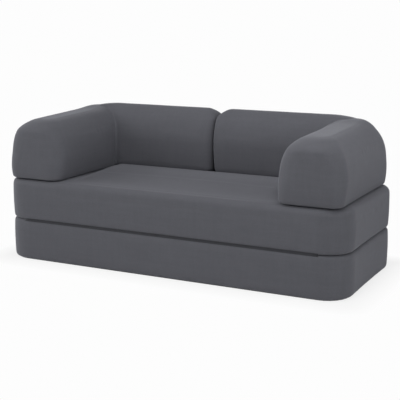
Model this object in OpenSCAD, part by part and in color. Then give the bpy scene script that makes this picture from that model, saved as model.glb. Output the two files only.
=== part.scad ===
// Sofa bed made of two hinged foam slabs and two lift-off corner bolsters.
// Each corner bolster is an arm section and a back section, sewn together at a mitre.
// The seat slab folds forward off the base slab to lie beside it as a bed.
// Millimetres, +Z up, X along the width, Y towards the back, origin on the floor.

/* [Slabs] */
// Width over the slabs
sofa_w = 1920; // [1800:10:2200]
// Depth over the slabs
sofa_d = 812; // [780:2:900]
// Thickness of each slab
slab_t = 216; // [190:2:240]
// Corner radius of the slabs seen from above
slab_corner_r = 136; // [100:2:150]
// Radius of the slab edges that meet in a seam
seam_r = 20; // [12:1:30]
// Radius of the edge that stands on the floor
floor_r = 17; // [10:1:30]
// Radius of the seat slab's upper edge
seat_edge_r = 34; // [20:1:44]
// How far the slab sides bulge at half height
slab_bulge = 2.5; // [0.5:0.5:8]
// How far the front and the ends draw in between the corners
slab_draw = 3; // [0:0.5:8]

/* [Seat crown] */
// Height of the seat's crown between the bolsters
crown_h = 38; // [8:1:42]
// Distance over which the crown rises from a bolster's foot
crown_run = 110; // [60:5:160]
// Distance over which the crown rolls down to the front edge
crown_front_run = 340; // [120:10:400]
// Strip along the foot of a bolster that stays flat
crown_margin = 8; // [4:1:30]

/* [Arm sections] */
// Width of an arm section
arm_w = 340; // [300:2:360]
// Length of an arm section from front to back
arm_l = 800; // [770:2:860]
// Height of an arm section at half length
arm_h = 319; // [280:1:360]
// How much the ridge falls from its rear end to its front end
arm_fall = 28; // [0:2:60]
// Distance of an arm from the slab's side
arm_inset = 24; // [10:1:40]
// Radius of the edge round an arm's foot
arm_foot_r = 14; // [8:1:24]
// Half span of the curve over the top of an arm
arm_top_run = 134; // [110:2:148]
// Height of the curve over the top of an arm
arm_top_drop = 222; // [150:2:250]
// Fullness of the curve over the top of an arm
arm_top_power = 2.3; // [2:0.1:3]
// Length of the roll at an arm's front end
arm_front_run = 114; // [80:2:150]
// Height of the roll at an arm's front end
arm_front_drop = 58; // [40:2:120]
// Length of the roll at an arm's rear end
arm_rear_run = 106; // [80:2:150]
// Height of the roll at an arm's rear end
arm_rear_drop = 150; // [100:2:200]
// Corner radius of an arm's front seen from above
arm_corner_r = 95; // [80:1:130]
// How much larger the corner radius is at an arm's rear
arm_rear_corner_add = 28; // [0:2:40]
// How far an arm's sides draw in to its foot
arm_foot_draw = 12; // [0:1:20]
// Height over which an arm's sides draw in to its foot
arm_foot_run = 120; // [60:5:160]
// Height of the curve over an arm's inner side where it meets the back section
arm_inner_drop = 150; // [120:2:220]
// How far an arm's long sides draw in at half length
arm_draw = 3; // [0:0.5:8]

/* [Back sections] */
// Thickness of a back section from front to back
back_d = 233; // [210:1:260]
// Height of a back section
back_h = 350; // [310:2:390]
// Distance of a back section from the slab's rear
back_inset = 8; // [2:1:20]
// Gap between the two corner bolsters
back_gap = 1; // [0.5:0.5:6]
// Gap at the mitre seam between an arm section and its back section
side_gap = 0.5; // [0.3:0.1:2]
// Radius of the edge round a back section's foot
back_foot_r = 30; // [10:1:36]
// Half span of the curve over the top of a back section
back_top_run = 112; // [90:1:114]
// Height of the curve over the top of a back section
back_top_drop = 132; // [100:2:180]
// Fullness of the curve over the top of a back section
back_top_power = 1.95; // [1.7:0.05:2.6]
// Length of the roll at a back section's end in the middle of the sofa
back_end_run = 72; // [50:2:100]
// Height of the roll at a back section's end in the middle of the sofa
back_end_drop = 56; // [40:2:90]
// Length of the roll at a back section's mitred end
back_outer_run = 200; // [150:5:220]
// Height of the roll at a back section's mitred end
back_outer_drop = 60; // [40:2:90]
// Corner radius of a back section seen from above
back_corner_r = 36; // [24:1:60]
// How far a back section's long sides draw in at half length
back_draw = 2; // [0:0.5:6]
// Fullness of the roll at every bolster's ends
end_power = 1.7; // [1.4:0.1:2.6]

/* [Covers and foam] */
// Thickness of a cover with its bonded wadding
cover_wall = 12; // [10:0.5:14]
// Clearance between a foam core and its cover
foam_gap = 0.6; // [0.3:0.1:0.9]
// Clearance between two cushions that only rest on each other
rest_gap = 0.3; // [0.2:0.1:0.6]
// Thickness of the soft foam layer on each sleeping side
comfort_t = 50; // [30:5:70]
// Thickness of the non-slip panel under the base slab
panel_t = 1.5; // [1:0.1:3]
// Thickness of a hook strip or a loop strip
strip_t = 1.2; // [0.8:0.1:2]
// Width of a hook strip or a loop strip
strip_w = 40; // [25:1:44]

/* [Fabric hinge] */
// Radius of the curved hinge fabric about the fold line
hinge_r = 9.6; // [8:0.2:11]
// Thickness of the hinge fabric
hinge_t = 1.2; // [0.8:0.1:1.6]

/* [Zips] */
// Width of a zip over both tapes
zip_w = 32; // [28:1:36]
// Thickness of the zip tape
tape_t = 1; // [0.6:0.1:1.4]
// Width of the closed coil
coil_w = 5.6; // [4:0.2:6.4]
// Height of the closed coil above its tape
coil_t = 2; // [1.4:0.1:2.4]
// Length of a zip slider
slider_l = 13; // [11:0.5:16]
// Wall of a zip slider
slider_wall = 1.2; // [0.8:0.1:1.5]
// Clearance between a slider and its zip
slider_gap = 0.3; // [0.2:0.05:0.4]
// Length of a pull tab
pull_l = 28; // [18:1:36]
// Width of a pull tab
pull_w = 5; // [4:0.2:6]
// Thickness of a pull tab
pull_t = 1.4; // [1:0.1:1.8]
// Radius of the bar that a pull tab hangs on
bar_r = 0.9; // [0.7:0.05:1.1]
// Clearance of a pull tab's eye round its bar
eye_gap = 0.35; // [0.2:0.05:0.5]
// Distance of a slab zip's ends from where the slab's corners begin
slab_zip_end = 74; // [20:2:300]
// Length of the zip under an arm
arm_zip_l = 560; // [300:10:570]
// Length of the zip under a back section
back_zip_l = 430; // [300:10:450]
// Depth of the channel that hides a bolster's zip
channel_d = 7; // [6:0.5:8]

/* [Hidden] */

fabric_colour = [0.33, 0.34, 0.37];
panel_colour = [0.13, 0.13, 0.14];
foam_colour = [0.86, 0.82, 0.66];
comfort_colour = [0.88, 0.91, 0.93];
strip_colour = [0.18, 0.18, 0.2];
tape_colour = [0.24, 0.25, 0.27];
metal_colour = [0.55, 0.55, 0.57];

left = -1;
right = 1;

// Levels of the stack
base_z = panel_t;
base_top = base_z + slab_t;
seat_z = base_top + rest_gap;
seat_top = seat_z + slab_t;
hook_z = seat_top + strip_t + rest_gap;
bolster_z = hook_z + strip_t;

// Places of the bolsters
arm_x = sofa_w / 2 - arm_inset - arm_w / 2;
arm_y = arm_l / 2 - sofa_d / 2 + rest_gap;
back_l = arm_x - arm_w / 2 - side_gap - back_gap / 2;
back_x = back_gap / 2 + back_l / 2;
back_y = sofa_d / 2 - back_inset - back_d / 2;

// Lines where the crown of the seat starts
foot_x = arm_x - arm_w / 2 + arm_foot_r - crown_margin;
foot_y = back_y - back_d / 2 + back_foot_r - crown_margin;

// Fold line of the fabric hinge
fold_y = -sofa_d / 2 - rest_gap;
fold_z = base_top + rest_gap / 2;

// Zip sizes shared by every zip
slab_zip_l = sofa_w - 2 * (slab_corner_r + slab_zip_end);
slider_w = coil_w + 2 * (slider_gap + slider_wall);
slider_h = coil_t + slider_gap + slider_wall;
slider_travel = slab_zip_l - slider_l;

// Pull tab's eye round its bar, and the bar's height above the tape
eye_r = bar_r + eye_gap;
head_r = eye_r + pull_t / 2;
bar_h = slider_h + slider_gap + head_r;

// Shares of a bolster's width and length that place its fastening strips
strip_pitch_share = 0.27;
arm_strip_share = 0.5;
back_strip_share = 0.62;

// Turns of the mitre's plane that keep the arm section or the back section
arm_turn = 0;
back_turn = 180;

// Share of an arm's length over which its inner side changes towards the mitre
arm_change_share = 0.21;

// Rise of a curve that starts and ends level
function smooth(u) = let (c = min(max(u, 0), 1)) c * c * (3 - 2 * c);

// Share of its half span that a full curve keeps at share u of its height
function dome(u, power) = pow(max(1 - pow(min(max(u, 0), 1), power), 0), 1 / power);

// Half width and depth of a rounded outline, from its front to its rear
function outline_rows(hx, front, rear, r, rear_r, rows, arcs) = concat(
  [for (i = [0:arcs])
    [hx - r + r * sin(90 * i / arcs), r - front - r * cos(90 * i / arcs)]],
  [for (y = rows) [hx, y]],
  [for (i = [0:arcs])
    [hx - rear_r + rear_r * cos(90 * i / arcs),
      rear - rear_r + rear_r * sin(90 * i / arcs)]]
);

// Points of one row, from its left end to its right end
function row_points(row, cols) = concat(
  [[-row[0], row[1]]], [for (x = cols) [x, row[1]]], [[row[0], row[1]]]
);

// Closed loop round an outline, anticlockwise from its front left
function loop_points(table, cols) = let (last = len(table) - 1) concat(
  row_points(table[0], cols),
  [for (j = [1:last]) [table[j][0], table[j][1]]],
  [for (i = [len(cols) - 1:-1:0]) [cols[i], table[last][1]]],
  [for (j = [last:-1:1]) [-table[j][0], table[j][1]]]
);

// Two triangles for each quad between two loops of n points
function band_faces(n, level) = [
  for (i = [0:n - 1])
    let (
      a = level * n + i, b = level * n + (i + 1) % n, d = a + n, c = b + n
    )
    each [[a, d, c], [a, c, b]]
];

// Closed body through a list of loops, with a flat face at each end
module loft(loops) {
  n = len(loops[0]);
  top = (len(loops) - 1) * n;
  polyhedron(
    points = [for (ring = loops) each ring],
    faces = concat(
      [[for (i = [0:n - 1]) i]],
      [for (level = [0:len(loops) - 2]) each band_faces(n, level)],
      [[for (i = [n - 1:-1:0]) top + i]]
    ),
    convexity = 2
  );
}

// Index of a point of the top grid: on the loop at its edge, or inside it
function grid_index(j, k, wide, deep, n, start) =
  j == 0 ? start + k :
  k == wide ? start + wide + j :
  j == deep ? start + wide + deep + (wide - k) :
  k == 0 ? start + n - j :
  start + n + (j - 1) * (wide - 1) + k - 1;

// Closed body through a list of loops, with a grid of points as its top
module loft_with_grid(loops, inner, wide, deep) {
  n = len(loops[0]);
  start = (len(loops) - 1) * n;
  polyhedron(
    points = concat([for (ring = loops) each ring], inner),
    faces = concat(
      [[for (i = [0:n - 1]) i]],
      [for (level = [0:len(loops) - 2]) each band_faces(n, level)],
      [for (j = [0:deep - 1], k = [0:wide - 1])
        let (
          a = grid_index(j, k, wide, deep, n, start),
          b = grid_index(j, k + 1, wide, deep, n, start),
          c = grid_index(j + 1, k + 1, wide, deep, n, start),
          d = grid_index(j + 1, k, wide, deep, n, start)
        )
        each [[a, d, c], [a, c, b]]]
    ),
    convexity = 3
  );
}

// Slab forms

// Level and inset of each loop up the side of a slab
function slab_levels(low_r, high_r, t, steps) = let (
  bulge = function (z) slab_bulge * pow((z - t / 2) / (t / 2), 2)
) concat(
  [for (i = [0:steps])
    let (z = low_r * (1 - cos(90 * i / steps)))
    [z, low_r * (1 - sin(90 * i / steps)) + bulge(z)]],
  [[t / 2, 0]],
  [for (i = [steps:-1:0])
    let (z = t - high_r * (1 - cos(90 * i / steps)))
    [z, high_r * (1 - sin(90 * i / steps)) + bulge(z)]]
);

// Draws the front and the ends in between the corners, and leaves the rear straight
function drawn(p, hx, hy) = [
  p[0] - sign(p[0]) * slab_draw * max(1 - pow(p[1] / (hy - slab_corner_r), 2), 0)
    * pow(abs(p[0]) / hx, 8),
  p[1] + (p[1] < 0 ? 1 : 0) * slab_draw * max(1 - pow(p[0] / (hx - slab_corner_r), 2), 0)
    * pow(abs(p[1]) / hy, 8)
];

// Loop of a slab at level z, set in by inset
function slab_loop(z, inset, cols, rows, arcs) = let (
  hx = sofa_w / 2 - inset,
  hy = sofa_d / 2 - inset,
  r = slab_corner_r - inset,
  table = outline_rows(hx, hy, hy, r, r, rows, arcs)
) [for (p = loop_points(table, cols)) let (q = drawn(p, hx, hy)) [q[0], q[1], z]];

// Plain slab body: the base slab's cover, a cavity or a foam block
module slab_body(set_in, low_r, high_r, steps, arcs) {
  t = slab_t - 2 * set_in;
  span_shares = [-0.5, 0, 0.5];
  flat_w = sofa_w / 2 - slab_corner_r;
  loft([
    for (level = slab_levels(low_r, high_r, t, steps))
      slab_loop(set_in + level[0], set_in + level[1],
        [for (s = span_shares) s * flat_w], [0], arcs)
  ]);
}

// Height of the seat's crown above its flat top
function crown_at(x, y) = crown_h
  * smooth((foot_x - abs(x)) / crown_run)
  * smooth((foot_y - y) / crown_run)
  * smooth((y + sofa_d / 2 - seat_edge_r) / crown_front_run);

// Seat slab with its crowned top
module seat_body() {
  arcs = 4;
  rise_shares = [0, 0.25, 0.5, 0.75, 1];
  inner_x = foot_x - crown_run;
  half_cols = concat([inner_x / 2], [for (s = rise_shares) inner_x + s * crown_run]);
  cols = concat([for (i = [len(half_cols) - 1:-1:0]) -half_cols[i]], [0], half_cols);
  rear_rows = [for (s = rise_shares) foot_y - crown_run + s * crown_run];
  front_edge = slab_corner_r - sofa_d / 2;
  rows = concat(
    [for (s = [0.3, 0.65]) front_edge + s * (rear_rows[0] - front_edge)], rear_rows
  );
  levels = slab_levels(seam_r, seat_edge_r, slab_t, 3);
  top_inset = levels[len(levels) - 1][1];
  hx = sofa_w / 2 - top_inset;
  hy = sofa_d / 2 - top_inset;
  top_r = slab_corner_r - top_inset;
  table = outline_rows(hx, hy, hy, top_r, top_r, rows, arcs);
  wide = len(cols) + 1;
  deep = len(table) - 1;
  inner = [
    for (j = [1:deep - 1], x = cols)
      let (q = drawn([x, table[j][1]], hx, hy))
      [q[0], q[1], slab_t + crown_at(q[0], q[1])]
  ];
  loft_with_grid(
    [for (level = levels) slab_loop(level[0], level[1], cols, rows, arcs)],
    inner, wide, deep
  );
}

// Hollow for the foam, or the foam itself with set_in larger by its clearance
module slab_filling(set_in) {
  slab_body(set_in, floor_r / 2, floor_r / 2, 1, 3);
}

// Upper or lower part of a slab's foam, split at height z from the slab's underside
module slab_foam_part(low, high) {
  intersection() {
    slab_filling(cover_wall + foam_gap);
    translate([-sofa_w / 2, -sofa_d / 2, low])
      cube([sofa_w, sofa_d, high - low]);
  }
}

// Bolster forms, which stand along Y with the foot at z = 0

// Sizes of a bolster: width, length, height, fall, foot, top run, top drop, top power,
// front run, front drop, rear run, rear drop, corner, draw, foot draw, rear corner add,
// front extension, rear extension, inner side's sign, inner side's drop at the rear
function arm_sizes(side) = [arm_w, arm_l, arm_h, arm_fall, arm_foot_r, arm_top_run,
  arm_top_drop, arm_top_power, arm_front_run, arm_front_drop, arm_rear_run, arm_rear_drop,
  arm_corner_r, arm_draw, arm_foot_draw, arm_rear_corner_add, 0, 0, -side, arm_inner_drop];

// A back form reaches on into its arm form by its own depth
function back_sizes(side) = let (
  plain = [back_end_run, back_end_drop],
  outer = [back_outer_run, back_outer_drop]
) concat(
  [back_d, back_l, back_h, 0, back_foot_r, back_top_run, back_top_drop, back_top_power],
  side == left ? concat(plain, outer) : concat(outer, plain),
  [back_corner_r, back_draw, 0, 0],
  side == left ? [0, back_d] : [back_d, 0],
  [0, back_top_drop]
);

// Levels up a bolster: the foot's edge, the side and the curve over the top
function bolster_levels(h, foot_r, drop, foot_steps, top_steps) = concat(
  [for (i = [0:foot_steps]) foot_r * (1 - cos(90 * i / foot_steps))],
  [(foot_r + h - drop) / 2],
  [for (i = [0:top_steps]) h - drop + drop * sin(90 * i / top_steps)]
);

// How far a full curve has rolled in at level z, over its drop below height h
function rolled(z, h, run, drop, power, s) =
  (run - s) * (1 - dome((z - h + drop - s) / (drop - s), power));

// Loop of a bolster at level z, for a body set in by s
function bolster_loop(b, s, z, arcs) = let (
  h = b[2] - 2 * s,
  foot_r = max(b[4] - s, b[4] / 4),
  foot_in = b[14] * pow(max(1 - (z + s) / arm_foot_run, 0), 2)
    + (z < foot_r ? foot_r - sqrt(foot_r * foot_r - pow(foot_r - z, 2)) : 0),
  side_in = s + foot_in,
  hx = b[0] / 2 - side_in - rolled(z, h, b[5], b[6], b[7], s),
  rear_hx = b[0] / 2 - side_in - rolled(z, h, b[5], b[19], b[7], s),
  front = b[1] / 2 + b[16] - side_in - rolled(z, h, b[8], b[9], end_power, s),
  rear = b[1] / 2 + b[17] - side_in - rolled(z, h, b[10], b[11], end_power, s),
  r = min(b[12] - s, hx * 0.98),
  rear_r = min(b[12] + b[15] - s, hx * 0.98),
  rows = [for (k = [-1:1]) k * (b[1] / 2 - b[12] - max(b[8], b[10])) * 0.8],
  table = outline_rows(hx, front, rear, r, rear_r, rows, arcs)
) [
  for (p = loop_points(table, []))
    let (
      narrowed = 1 - 2 * b[13] / b[0] * max(1 - pow(2 * p[1] / b[1], 2), 0),
      change = p[0] * b[18] > 0 ? smooth(p[1] / (arm_change_share * b[1])) : 0
    )
    [p[0] * narrowed * (1 + change * (rear_hx / hx - 1)), p[1],
      s + z * (1 + b[3] / b[2] * p[1] / b[1])]
];

// Closed body of a bolster, set in by s
module bolster_body(b, s, arcs, foot_steps, top_steps) {
  h = b[2] - 2 * s;
  foot_r = max(b[4] - s, b[4] / 4);
  loft([
    for (z = bolster_levels(h, foot_r, b[6] - s, foot_steps, top_steps))
      bolster_loop(b, s, z, arcs)
  ]);
}

// Whole corner bolster, an arm form and a back form that run into each other, set in by s
module corner_body(side, s, arcs, foot_steps, top_steps) {
  at_arm(side, 0)
    bolster_body(arm_sizes(side), s, arcs, foot_steps, top_steps);
  at_back(side, 0)
    bolster_body(back_sizes(side), s, arcs, foot_steps, top_steps);
}

// Keeps one section of a corner bolster, which ends at the mitre's plane and s before it
module section(side, turn, s) {
  reach = 2 * arm_l;
  intersection() {
    children();
    translate([side * (arm_x - (arm_w + side_gap) / 2), back_y - back_d / 2, -reach / 2])
      rotate([0, 0, side * 45 + turn])
        translate([-reach / 2, -reach - side_gap / 2 - s, 0])
          cube([reach, reach, reach]);
  }
}

module section_filling(side, turn, s) {
  section(side, turn, s)
    corner_body(side, s, 3, 1, 5);
}

// Cover of one section, hollow for its foam and cut out for the zip channel
module section_cover(side, turn) {
  difference() {
    section(side, turn, 0)
      corner_body(side, 0, 5, 3, 8);
    section_filling(side, turn, cover_wall);
    children();
  }
}

// Channel under a section that hides its zip
module zip_channel(zip_l) {
  channel_w = zip_w + 2 * slider_gap;
  channel_l = zip_l + 2 * slider_gap;
  translate([-channel_w / 2, -channel_l / 2, -channel_d])
    cube([channel_w, channel_l, 2 * channel_d]);
}

// Pair of fastening strips at both sides of the zip channel
module strip_pair(b, share) {
  for (side = [left, right])
    translate([side * strip_pitch_share * b[0] - strip_w / 2, -share * b[1] / 2, 0])
      cube([strip_w, share * b[1], strip_t]);
}

// Zips, which lie along X with the tape's back at z = 0 and the coil on top

// Closed zip: the tape and the coil on it
module zip(l) {
  translate([-l / 2, -zip_w / 2, 0])
    cube([l, zip_w, tape_t]);
  translate([-l / 2, 0, tape_t])
    rotate([90, 0, 90])
      linear_extrude(l)
        polygon([for (s = [[-0.5, 0], [0.5, 0], [0.5, 0.5], [0.25, 1], [-0.25, 1],
          [-0.5, 0.5]]) [s[0] * coil_w, s[1] * coil_t]]);
}

// Zip slider over the coil, with its tapering nose towards +X
module slider_shell() {
  nose_share = 0.62;
  translate([0, 0, tape_t + slider_gap])
    difference() {
      linear_extrude(slider_h - slider_gap)
        polygon([for (s = [[-0.5, -nose_share], [0.1, -0.5], [0.5, -0.5], [0.5, 0.5],
          [0.1, 0.5], [-0.5, nose_share]]) [s[0] * slider_l, s[1] * slider_w]]);
      translate([-slider_l, -coil_w / 2 - slider_gap, -slider_gap])
        cube([2 * slider_l, coil_w + 2 * slider_gap, coil_t + slider_gap]);
    }
}

// Bar and posts that a pull tab hangs on, along X
module slider_bridge() {
  top = tape_t + slider_h;
  post = 2 * bar_r;
  half = pull_w / 2 + eye_gap;
  for (side = [left, right])
    translate([side * (half + post / 2) - post / 2, -bar_r, top])
      cube([post, post, bar_h - slider_h]);
  translate([-half - post, 0, tape_t + bar_h])
    rotate([0, 90, 0])
      cylinder(r = bar_r, h = 2 * (half + post), $fn = 24);
}

// Pull tab on the bar, hanging towards -Y
module pull_tab() {
  tip_r = pull_w / 2;
  translate([-pull_w / 2, 0, tape_t + bar_h])
    rotate([0, 90, 0])
      difference() {
        union() {
          cylinder(r = head_r, h = pull_w, $fn = 32);
          translate([-pull_t / 2, tip_r - pull_l, 0])
            cube([pull_t, pull_l - tip_r, pull_w]);
          translate([-pull_t / 2, tip_r - pull_l, tip_r])
            rotate([0, 90, 0])
              cylinder(r = tip_r, h = pull_t, $fn = 32);
        }
        translate([0, 0, -pull_w / 2])
          cylinder(r = eye_r, h = 2 * pull_w, $fn = 32);
      }
}

// Places a zip piece on the rear of the slab whose underside is at z
module on_slab_rear(z) {
  translate([0, sofa_d / 2 + rest_gap, z + slab_t / 2])
    rotate([-90, 0, 0])
      children();
}

// Rest place of a slider at the closed end of a slab's zip
module at_zip_end() {
  translate([-slider_travel / 2, 0, 0])
    children();
}

// Places an arm piece that stands along Y
module at_arm(side, z) {
  translate([side * arm_x, arm_y, z])
    children();
}

// Places a back piece, turned to lie along X
module at_back(side, z) {
  translate([side * back_x, back_y, z])
    rotate([0, 0, 90])
      children();
}

// Zip piece turned to face down in the channel of a bolster along Y
module in_channel() {
  translate([0, 0, channel_d - rest_gap])
    rotate([180, 0, 90])
      children();
}

// Base slab

module base_cover() {
  color(fabric_colour)
    translate([0, 0, base_z])
      difference() {
        slab_body(0, floor_r, seam_r, 3, 5);
        slab_filling(cover_wall);
      }
}

module base_foam_core() {
  color(foam_colour)
    translate([0, 0, base_z])
      slab_foam_part(0, slab_t - cover_wall - foam_gap - comfort_t);
}

module base_comfort_layer() {
  color(comfort_colour)
    translate([0, 0, base_z])
      slab_foam_part(slab_t - cover_wall - foam_gap - comfort_t, slab_t);
}

module base_underside_panel() {
  inset = floor_r + slab_bulge;
  color(panel_colour)
    linear_extrude(panel_t)
      polygon([for (p = slab_loop(0, inset, [], [], 5)) [p[0], p[1]]]);
}

module base_zip() {
  color(tape_colour)
    on_slab_rear(base_z)
      zip(slab_zip_l);
}

module base_zip_slider() {
  color(metal_colour)
    on_slab_rear(base_z)
      at_zip_end() {
        slider_shell();
        slider_bridge();
      }
}

module base_zip_pull() {
  color(metal_colour)
    on_slab_rear(base_z)
      at_zip_end()
        mirror([0, 1, 0])
          pull_tab();
}

// Fabric that joins both slabs along the front seam, curved about the fold line
module front_hinge_strip() {
  half_angle = 52;
  outer_r = hinge_r + hinge_t / 2;
  inner_r = hinge_r - hinge_t / 2;
  length = sofa_w - 2 * slab_corner_r;
  reach = 2 * outer_r;
  color(fabric_colour)
    translate([-length / 2, fold_y, fold_z])
      rotate([90, 0, 90])
        intersection() {
          difference() {
            cylinder(r = outer_r, h = length, $fn = 48);
            translate([0, 0, -outer_r])
              cylinder(r = inner_r, h = length + 2 * outer_r, $fn = 48);
          }
          linear_extrude(length)
            polygon([[0, 0], [reach * cos(half_angle), -reach * sin(half_angle)],
              [reach, 0], [reach * cos(half_angle), reach * sin(half_angle)]]);
        }
}

// Seat slab

module seat_cover() {
  color(fabric_colour)
    translate([0, 0, seat_z])
      difference() {
        seat_body();
        slab_filling(cover_wall);
      }
}

module seat_foam_core() {
  color(foam_colour)
    translate([0, 0, seat_z])
      slab_foam_part(cover_wall + foam_gap + comfort_t, slab_t);
}

module seat_comfort_layer() {
  color(comfort_colour)
    translate([0, 0, seat_z])
      slab_foam_part(0, cover_wall + foam_gap + comfort_t);
}

module seat_zip() {
  color(tape_colour)
    on_slab_rear(seat_z)
      zip(slab_zip_l);
}

module seat_zip_slider() {
  color(metal_colour)
    on_slab_rear(seat_z)
      at_zip_end() {
        slider_shell();
        slider_bridge();
      }
}

module seat_zip_pull() {
  color(metal_colour)
    on_slab_rear(seat_z)
      at_zip_end()
        mirror([0, 1, 0])
          pull_tab();
}

// Arm sections

module arm_cover(side) {
  color(fabric_colour)
    translate([0, 0, bolster_z])
      section_cover(side, arm_turn)
        at_arm(side, 0)
          zip_channel(arm_zip_l);
}

module arm_foam_core(side) {
  color(foam_colour)
    translate([0, 0, bolster_z])
      section_filling(side, arm_turn, cover_wall + foam_gap);
}

module arm_zip(side) {
  color(tape_colour)
    at_arm(side, bolster_z)
      in_channel()
        zip(arm_zip_l);
}

module arm_zip_slider(side) {
  color(metal_colour)
    at_arm(side, bolster_z)
      in_channel()
        translate([(slider_l - arm_zip_l) / 2, 0, 0])
          slider_shell();
}

module arm_hook_strips(side) {
  color(strip_colour)
    at_arm(side, hook_z)
      strip_pair(arm_sizes(side), arm_strip_share);
}

module arm_loop_strips(side) {
  color(strip_colour)
    at_arm(side, seat_top)
      strip_pair(arm_sizes(side), arm_strip_share);
}

// Back sections

module back_cover(side) {
  color(fabric_colour)
    translate([0, 0, bolster_z])
      section_cover(side, back_turn)
        at_back(side, 0)
          zip_channel(back_zip_l);
}

module back_foam_core(side) {
  color(foam_colour)
    translate([0, 0, bolster_z])
      section_filling(side, back_turn, cover_wall + foam_gap);
}

module back_zip(side) {
  color(tape_colour)
    at_back(side, bolster_z)
      in_channel()
        zip(back_zip_l);
}

module back_zip_slider(side) {
  color(metal_colour)
    at_back(side, bolster_z)
      in_channel()
        translate([(slider_l - back_zip_l) / 2, 0, 0])
          slider_shell();
}

module back_hook_strips(side) {
  color(strip_colour)
    at_back(side, hook_z)
      strip_pair(back_sizes(side), back_strip_share);
}

module back_loop_strips(side) {
  color(strip_colour)
    at_back(side, seat_top)
      strip_pair(back_sizes(side), back_strip_share);
}

base_cover();
base_foam_core();
base_comfort_layer();
base_underside_panel();
base_zip();
base_zip_slider();
base_zip_pull();
front_hinge_strip();
seat_cover();
seat_foam_core();
seat_comfort_layer();
seat_zip();
seat_zip_slider();
seat_zip_pull();
arm_cover(left);  // left_arm_cover
arm_foam_core(left);  // left_arm_foam_core
arm_zip(left);  // left_arm_zip
arm_zip_slider(left);  // left_arm_zip_slider
arm_hook_strips(left);  // left_arm_hook_strips
arm_loop_strips(left);  // left_arm_loop_strips
arm_cover(right);  // right_arm_cover
arm_foam_core(right);  // right_arm_foam_core
arm_zip(right);  // right_arm_zip
arm_zip_slider(right);  // right_arm_zip_slider
arm_hook_strips(right);  // right_arm_hook_strips
arm_loop_strips(right);  // right_arm_loop_strips
back_cover(left);  // left_back_cover
back_foam_core(left);  // left_back_foam_core
back_zip(left);  // left_back_zip
back_zip_slider(left);  // left_back_zip_slider
back_hook_strips(left);  // left_back_hook_strips
back_loop_strips(left);  // left_back_loop_strips
back_cover(right);  // right_back_cover
back_foam_core(right);  // right_back_foam_core
back_zip(right);  // right_back_zip
back_zip_slider(right);  // right_back_zip_slider
back_hook_strips(right);  // right_back_hook_strips
back_loop_strips(right);  // right_back_loop_strips
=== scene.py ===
# Sofa bed dressed in charcoal velvet: covers, foam, zips, tapes and the studio it stands in.
# Metres, +Z up, X along the width, Y towards the back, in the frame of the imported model.

import math

import bmesh
import bpy
import numpy as np
from mathutils import Matrix, Vector, noise


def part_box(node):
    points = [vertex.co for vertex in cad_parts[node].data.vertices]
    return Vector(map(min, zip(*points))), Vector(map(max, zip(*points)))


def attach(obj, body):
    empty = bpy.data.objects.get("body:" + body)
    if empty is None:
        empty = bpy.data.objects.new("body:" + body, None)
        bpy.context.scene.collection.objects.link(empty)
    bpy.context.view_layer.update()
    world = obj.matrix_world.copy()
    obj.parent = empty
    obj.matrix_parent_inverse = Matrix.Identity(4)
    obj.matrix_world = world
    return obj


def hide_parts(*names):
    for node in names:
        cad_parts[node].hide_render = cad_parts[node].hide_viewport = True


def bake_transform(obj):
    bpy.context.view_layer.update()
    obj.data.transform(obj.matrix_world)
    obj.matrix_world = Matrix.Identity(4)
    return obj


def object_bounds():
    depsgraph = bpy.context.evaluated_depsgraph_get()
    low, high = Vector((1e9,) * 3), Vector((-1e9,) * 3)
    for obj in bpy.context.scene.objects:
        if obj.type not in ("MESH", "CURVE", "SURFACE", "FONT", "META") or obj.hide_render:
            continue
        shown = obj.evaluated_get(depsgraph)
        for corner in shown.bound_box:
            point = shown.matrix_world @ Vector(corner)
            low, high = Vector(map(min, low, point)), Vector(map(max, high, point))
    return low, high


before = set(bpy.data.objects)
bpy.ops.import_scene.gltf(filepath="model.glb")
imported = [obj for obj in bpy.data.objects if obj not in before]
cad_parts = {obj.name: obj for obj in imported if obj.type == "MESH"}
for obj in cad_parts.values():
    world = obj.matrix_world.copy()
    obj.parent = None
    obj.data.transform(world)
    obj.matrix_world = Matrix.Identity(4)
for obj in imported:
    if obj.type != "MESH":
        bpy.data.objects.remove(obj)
cad_low, cad_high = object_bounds()

SIDES = ("left", "right")
MM = 0.001

# Slab sizes that a box does not tell
SLAB_CORNER_R = 136 * MM
BASE_SEAM_R = 17 * MM
SEAT_SEAM_R = 12 * MM
SEAM_SIDE_SHARE = 1.6
FLOOR_R = 17 * MM
SEAT_EDGE_R = 34 * MM
SLAB_BULGE = 2.5 * MM
SLAB_DRAW = 3 * MM
COVER_WALL = 12 * MM

# Crown of the seat between the bolsters
CROWN_H = 38 * MM
CROWN_RUN = 90 * MM
CROWN_FRONT_RUN = 340 * MM
CROWN_X = 594 * MM
CROWN_Y = 166 * MM

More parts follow.
